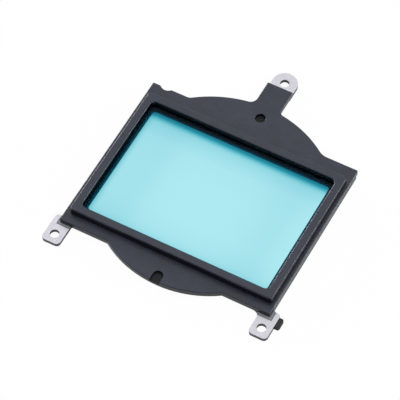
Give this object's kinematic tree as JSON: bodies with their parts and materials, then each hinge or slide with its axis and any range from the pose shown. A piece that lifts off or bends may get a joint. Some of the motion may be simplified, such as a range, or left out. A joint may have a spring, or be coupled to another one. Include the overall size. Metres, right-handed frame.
{
  "type": "optical low-pass filter",
  "caption": "Teal filter glass under the raised bezel of a black moulded frame, bonded to a sheet-metal plate whose ears screw it in front of a camera's image sensor.",
  "frame": {"origin": "on the optical axis, in the rear seating plane of the ear plate", "axes": "+Z along the optical axis towards the lens; +Y towards the upper eye; +X to the right seen from the lens side with the eye up"},
  "size_m": [0.0474, 0.0545, 0.0033],
  "materials": {
    "ear_plate": "satin, black paint under the frame",
    "light_shield": "matte",
    "rear_lowpass_plate": "polished",
    "infrared_glass": "polished",
    "wave_plate": "polished",
    "front_lowpass_plate": "polished",
    "front_gasket": "matte",
    "moulded_frame": "fine matte texture",
    "edge_bumper": "matte"
  },
  "bodies": {
    "root": {"ear_plate": "ear_plate", "light_shield": "light_shield", "rear_lowpass_plate": "rear_lowpass_plate", "infrared_glass": "infrared_glass", "wave_plate": "wave_plate", "front_lowpass_plate": "front_lowpass_plate", "front_gasket": "front_gasket", "moulded_frame": "moulded_frame", "edge_bumper": "edge_bumper"}
  },
  "joints": []
}
